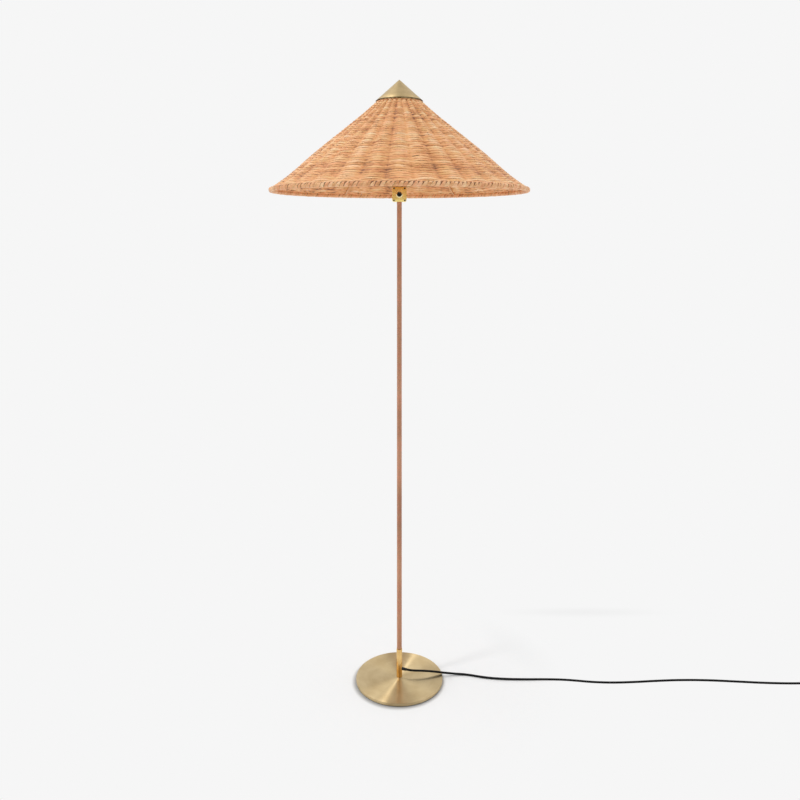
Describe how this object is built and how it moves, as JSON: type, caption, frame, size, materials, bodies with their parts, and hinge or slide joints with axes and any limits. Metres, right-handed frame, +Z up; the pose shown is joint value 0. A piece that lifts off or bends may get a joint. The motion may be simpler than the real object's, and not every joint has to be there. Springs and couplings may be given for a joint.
{
  "type": "floor lamp",
  "caption": "Floor lamp with a round weighted base, a cane-wrapped stem, a push switch and a wide woven cane cone shade under a small brass cap.",
  "frame": {"origin": "on the floor under the middle of the round base", "axes": "+Z up along the stem, -Y out of the switch's front, +X to the side where the cord leaves the foot"},
  "size_m": [1.4428, 0.6444, 1.5],
  "materials": {
    "felt": "dense dark felt",
    "base_brass": "spun and brushed brass sheet",
    "cast_iron": "rough casting",
    "zinc_steel": "zinc plated",
    "foot_brass": "polished brass tube",
    "stem_cane": "flat cane wound tight, satin",
    "black_rubber": "moulded, matte",
    "black_cord": "smooth round sheath",
    "switch_brass": "polished yellow brass",
    "black_steel": "blackened screw heads",
    "black_plastic": "moulded, satin",
    "contact_brass": "bare pressed brass",
    "blue_wire": "extruded insulation",
    "brown_wire": "extruded insulation",
    "harp_brass": "brass plated wire, satin",
    "holder_brass": "pressed brass, satin",
    "porcelain": "glazed white ceramic",
    "bulb_metal": "rolled thread cap",
    "opal_glass": "opal white glass",
    "frame_wire": "cane-coloured lacquered wire",
    "woven_cane": "woven cane, satin, warm tan",
    "border_cane": "flat cane wound round the rim",
    "cap_brass": "brushed pale brass, slightly green"
  },
  "bodies": {
    "stand": {"base_pad": "felt", "base_cover": "base_brass", "base_weight": "cast_iron", "base_nut": "zinc_steel", "base_nipple": "zinc_steel", "base_washer": "zinc_steel", "foot_tube": "foot_brass", "stem_pipe": "zinc_steel", "lower_binding": "stem_cane", "stem_wrap": "stem_cane", "upper_binding": "stem_cane", "cord_relief": "black_rubber", "cord_tail": "black_cord", "switch_housing": "switch_brass", "switch_faceplate": "switch_brass", "faceplate_screw_1": "black_steel", "faceplate_screw_2": "black_steel", "faceplate_screw_3": "black_steel", "faceplate_screw_4": "black_steel", "switch_bezel": "switch_brass", "switch_body": "black_plastic", "live_terminal": "contact_brass", "switched_terminal": "contact_brass", "stem_nut": "zinc_steel", "holder_nut": "zinc_steel", "neutral_wire": "blue_wire", "live_wire": "brown_wire", "switched_wire": "brown_wire", "harp_saddle": "harp_brass", "harp": "harp_brass", "harp_stud": "harp_brass", "holder_nipple": "zinc_steel", "holder_cap": "holder_brass", "holder_shell": "holder_brass", "holder_insert": "porcelain", "centre_contact": "contact_brass", "thread_shell": "contact_brass", "cord_run": "black_cord", "cord_coil": "black_cord", "coil_tie": "black_plastic", "plug_body": "black_plastic", "plug_pin_1": "contact_brass", "plug_pin_2": "contact_brass"},
    "button": {"switch_button": "black_plastic"},
    "bulb": {"bulb_cap": "bulb_metal", "bulb_glass": "opal_glass"},
    "shade": {"shade_spider": "frame_wire", "shade_bottom_ring": "frame_wire", "shade_rib_1": "frame_wire", "shade_rib_2": "frame_wire", "shade_rib_3": "frame_wire", "shade_rib_4": "frame_wire", "shade_rib_5": "frame_wire", "shade_rib_6": "frame_wire", "shade_weave": "woven_cane", "shade_border": "border_cane"},
    "cap": {"brass_cap": "cap_brass", "cap_boss": "harp_brass"},
    "left_sleeve": {"left_sleeve": "harp_brass"},
    "right_sleeve": {"right_sleeve": "harp_brass"}
  },
  "joints": [
    {"name": "button_press", "type": "slide", "parent": "stand", "child": "button", "axis": [0, 1, 0], "range_m": [0, 0.002], "stiffness_N_per_m": 400},
    {"name": "bulb_turn", "type": "hinge", "parent": "stand", "child": "bulb", "pos_m": [0, 0, 1.2562], "axis": [0, 0, 1], "continuous": true},
    {"name": "shade_turn", "type": "hinge", "parent": "stand", "child": "shade", "pos_m": [0, 0, 1.4356], "axis": [0, 0, 1], "continuous": true},
    {"name": "cap_turn", "type": "hinge", "parent": "stand", "child": "cap", "pos_m": [0, 0, 1.4369], "axis": [0, 0, 1], "continuous": true},
    {"name": "left_sleeve_lift", "type": "slide", "parent": "stand", "child": "left_sleeve", "axis": [0, 0, 1], "range_m": [0, 0.009]},
    {"name": "right_sleeve_lift", "type": "slide", "parent": "stand", "child": "right_sleeve", "axis": [0, 0, 1], "range_m": [0, 0.009]}
  ]
}
